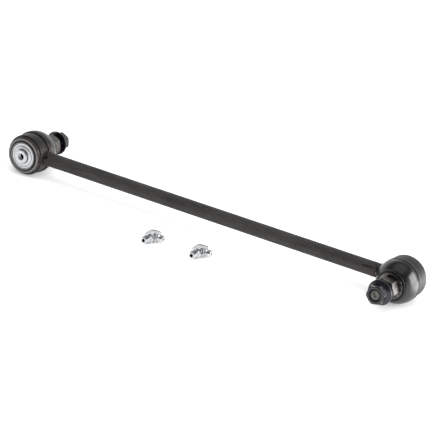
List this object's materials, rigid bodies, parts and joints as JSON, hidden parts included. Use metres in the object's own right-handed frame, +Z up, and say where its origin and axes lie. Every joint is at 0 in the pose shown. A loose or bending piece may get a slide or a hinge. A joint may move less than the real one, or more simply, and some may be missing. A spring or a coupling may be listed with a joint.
{
  "type": "stabiliser bar link",
  "caption": "Suspension link: a steel rod with a greasable ball joint at each end, opposed threaded studs with flange nuts, and loose right-angle grease fittings.",
  "frame": {"origin": "middle of the rod, on its axis", "axes": "+X along the rod towards the right joint, +Y along the left stud, +Z up"},
  "size_m": [0.4192, 0.114, 0.0383],
  "materials": {
    "rod_steel": "black oxide, satin",
    "housing_steel": "dark phosphated steel, turned",
    "weld_steel": "heat tinted weld",
    "plate_zinc": "bright zinc plate",
    "spring_steel": "spring steel",
    "bearing_polymer": "natural acetal",
    "ring_steel": "steel",
    "boot_rubber": "smooth black rubber",
    "stud_steel": "machined steel",
    "nut_black": "black zinc, glossy",
    "fitting_zinc": "bright zinc plate"
  },
  "bodies": {
    "link": {"link_rod": "rod_steel", "left_housing": "housing_steel", "left_weld_bead": "weld_steel", "left_cover_plate": "plate_zinc", "left_preload_spring": "spring_steel", "left_lower_bearing": "bearing_polymer", "left_upper_bearing": "bearing_polymer", "left_boot_base_ring": "ring_steel", "right_housing": "housing_steel", "right_weld_bead": "weld_steel", "right_cover_plate": "plate_zinc", "right_preload_spring": "spring_steel", "right_lower_bearing": "bearing_polymer", "right_upper_bearing": "bearing_polymer", "right_boot_base_ring": "ring_steel"},
    "left_boot": {"left_dust_boot": "boot_rubber"},
    "left_clip": {"left_boot_neck_ring": "ring_steel"},
    "left_stud": {"left_ball_stud": "stud_steel"},
    "left_nut": {"left_flange_nut": "nut_black"},
    "right_boot": {"right_dust_boot": "boot_rubber"},
    "right_clip": {"right_boot_neck_ring": "ring_steel"},
    "right_stud": {"right_ball_stud": "stud_steel"},
    "right_nut": {"right_flange_nut": "nut_black"},
    "fitting_a": {"fitting_a_elbow": "fitting_zinc", "fitting_a_nozzle": "fitting_zinc", "fitting_a_check_spring": "spring_steel"},
    "fitting_a_valve": {"fitting_a_check_ball": "spring_steel"},
    "fitting_b": {"fitting_b_elbow": "fitting_zinc", "fitting_b_nozzle": "fitting_zinc", "fitting_b_check_spring": "spring_steel"},
    "fitting_b_valve": {"fitting_b_check_ball": "spring_steel"}
  },
  "joints": [
    {"name": "left_swing_across", "type": "hinge", "parent": "link", "child": "left_boot", "pos_m": [-0.1905, 0, 0], "axis": [1, 0, 0], "range_deg": [-18, 18], "deforming": ["left_dust_boot"]},
    {"name": "left_swing_along", "type": "hinge", "parent": "left_boot", "child": "left_clip", "pos_m": [-0.1905, 0, 0], "axis": [0, 0, 1], "range_deg": [-18, 18], "deforming": ["left_dust_boot"]},
    {"name": "left_stud_spin", "type": "hinge", "parent": "left_clip", "child": "left_stud", "pos_m": [-0.1905, 0, 0], "axis": [0, 1, 0], "continuous": true},
    {"name": "left_nut_travel", "type": "slide", "parent": "left_stud", "child": "left_nut", "axis": [0, 1, 0], "range_m": [0, 0.012]},
    {"name": "right_swing_across", "type": "hinge", "parent": "link", "child": "right_boot", "pos_m": [0.1905, 0, 0], "axis": [1, 0, 0], "range_deg": [-18, 18], "deforming": ["right_dust_boot"]},
    {"name": "right_swing_along", "type": "hinge", "parent": "right_boot", "child": "right_clip", "pos_m": [0.1905, 0, 0], "axis": [0, 0, 1], "range_deg": [-18, 18], "deforming": ["right_dust_boot"]},
    {"name": "right_stud_spin", "type": "hinge", "parent": "right_clip", "child": "right_stud", "pos_m": [0.1905, 0, 0], "axis": [0, -1, 0], "continuous": true},
    {"name": "right_nut_travel", "type": "slide", "parent": "right_stud", "child": "right_nut", "axis": [0, -1, 0], "range_m": [0, 0.012]},
    {"name": "fitting_a_lift", "type": "slide", "parent": "link", "child": "fitting_a", "axis": [0, 0, 1], "range_m": [0, 0.04]},
    {"name": "fitting_a_valve_push", "type": "slide", "parent": "fitting_a", "child": "fitting_a_valve", "axis": [-1, 0, 0], "range_m": [0, 0.0008], "stiffness_N_per_m": 300, "springref_m": -0.001, "deforming": ["fitting_a_check_spring"]},
    {"name": "fitting_b_lift", "type": "slide", "parent": "link", "child": "fitting_b", "axis": [0, 0, 1], "range_m": [0, 0.04]},
    {"name": "fitting_b_valve_push", "type": "slide", "parent": "fitting_b", "child": "fitting_b_valve", "axis": [-0.999, -0.0436, 0], "range_m": [0, 0.0008], "stiffness_N_per_m": 300, "springref_m": -0.001, "deforming": ["fitting_b_check_spring"]}
  ]
}
